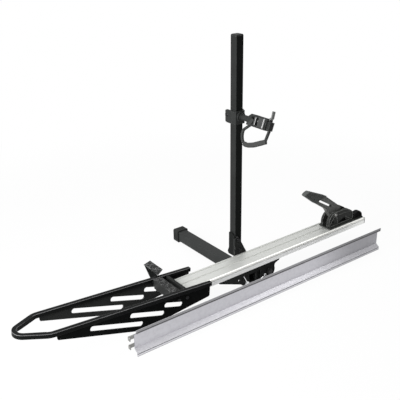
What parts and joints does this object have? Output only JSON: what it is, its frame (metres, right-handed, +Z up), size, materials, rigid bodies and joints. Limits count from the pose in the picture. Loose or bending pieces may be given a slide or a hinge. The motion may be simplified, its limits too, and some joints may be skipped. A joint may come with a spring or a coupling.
{
  "type": "hitch bike rack",
  "caption": "Single electric bike rack for a square hitch receiver, with wheel tray, tilting bracket, mast clamp, wheel cradle, lever wheel clamp and loading ramp",
  "frame": {"origin": "On the receiver bar's axis, level with the hitch bolt's hole", "axes": "+X along the wheel tray to the loading end, +Y along the receiver bar to the vehicle, +Z up"},
  "size_m": [1.8521, 0.7208, 1.108],
  "materials": {
    "bar_paint": "satin powder coat",
    "black_paint": "satin powder coat",
    "black_plastic": "fine moulded grain",
    "grey_nylon": "moulded satin",
    "rubber": "matt",
    "tray_alloy": "brushed, clear anodised",
    "ramp_alloy": "brushed, mill finish",
    "zinc": "zinc plated"
  },
  "bodies": {
    "receiver": {"receiver_bar": "bar_paint", "head_plate_near": "black_paint", "head_plate_far": "black_paint", "pivot_sleeve": "black_paint"},
    "bar_cap": {"receiver_cap": "black_plastic"},
    "tilt_frame": {"bracket_near_plate": "black_paint", "bracket_far_plate": "black_paint", "bracket_flange": "black_paint", "pivot_bolt": "zinc", "pivot_nut": "zinc", "stop_pin": "zinc", "bracket_bolts": "zinc", "wheel_tray": "tray_alloy", "tray_end_cap": "black_plastic", "tray_end_bar": "black_paint", "mast": "black_paint", "mast_cap": "black_plastic", "mast_side_plate": "black_paint", "mast_bolts": "zinc", "mast_nuts": "zinc", "cradle_hoop": "black_paint", "cradle_near_cheek": "black_paint", "cradle_far_cheek": "black_paint", "cradle_cross_band": "black_paint", "cradle_saddle": "black_paint", "side_wing": "black_paint", "wing_leg": "black_paint", "cradle_bolts": "zinc", "cradle_nuts": "zinc"},
    "lock_pin": {"lock_pin": "zinc", "pin_handle": "zinc"},
    "mast_slider": {"clamp_collar": "black_plastic", "clamp_arm": "black_plastic", "clamp_bolt": "zinc"},
    "clamp_knob": {"clamp_knob": "black_plastic"},
    "buckle_head": {"buckle_shell": "black_plastic", "buckle_pins": "zinc", "ladder_strap": "black_plastic", "strap_loop": "rubber", "strap_pad": "rubber"},
    "buckle_lever": {"buckle_lever": "grey_nylon"},
    "buckle_pawl": {"buckle_pawl": "grey_nylon"},
    "wheel_clamp": {"wheel_clamp_foot": "black_plastic", "wheel_clamp_cheeks": "black_plastic", "toothed_drum": "black_plastic", "lever_bolt": "zinc", "clamp_end_block": "black_plastic"},
    "clamp_lever": {"clamp_lever": "black_plastic", "lever_grip": "rubber"},
    "ramp": {"ramp_channel": "ramp_alloy", "ramp_sides": "ramp_alloy", "ramp_hooks": "ramp_alloy", "ramp_rivets": "zinc"}
  },
  "joints": [
    {"name": "cap_pull", "type": "slide", "parent": "receiver", "child": "bar_cap", "axis": [0, 1, 0], "range_m": [0, 0.05]},
    {"name": "rack_tilt", "type": "hinge", "parent": "receiver", "child": "tilt_frame", "pos_m": [0.0913, -0.38, 0.0067], "axis": [0, 1, 0], "range_deg": [0, 22]},
    {"name": "lock_pin_pull", "type": "slide", "parent": "tilt_frame", "child": "lock_pin", "axis": [0, -1, 0], "range_m": [0, 0.045]},
    {"name": "clamp_height", "type": "slide", "parent": "tilt_frame", "child": "mast_slider", "axis": [0, 0, 1], "range_m": [-0.3, 0.3]},
    {"name": "knob_turn", "type": "hinge", "parent": "mast_slider", "child": "clamp_knob", "pos_m": [0, -0.347, 0.731], "axis": [1, 0, 0], "continuous": true},
    {"name": "head_swivel", "type": "hinge", "parent": "mast_slider", "child": "buckle_head", "pos_m": [0, -0.47, 0.731], "axis": [0, 1, 0], "range_deg": [-60, 60]},
    {"name": "buckle_lift", "type": "hinge", "parent": "buckle_head", "child": "buckle_lever", "pos_m": [0.00287, -0.5665, 0.73847], "axis": [-0.9336, 0, 0.3584], "range_deg": [0, 30], "stiffness_Nm_per_rad": 0.4, "springref_deg": -11.46},
    {"name": "pawl_lift", "type": "hinge", "parent": "buckle_head", "child": "buckle_pawl", "pos_m": [0.0043, -0.5325, 0.7422], "axis": [0.9336, 0, -0.3584], "range_deg": [0, 10]},
    {"name": "wheel_clamp_slide", "type": "slide", "parent": "tilt_frame", "child": "wheel_clamp", "axis": [1, 0, 0], "range_m": [-0.15, 0]},
    {"name": "lever_swing", "type": "hinge", "parent": "wheel_clamp", "child": "clamp_lever", "pos_m": [0.555, -0.4589, 0.143], "axis": [0, 1, 0], "range_deg": [-12, 75]},
    {"name": "ramp_lift_off", "type": "slide", "parent": "receiver", "child": "ramp", "axis": [0, 0, 1], "range_m": [0, 0.25]}
  ],
  "couplings": [
    {"joint": "pawl_lift", "follows": "buckle_lift", "ratio": 0.3}
  ]
}
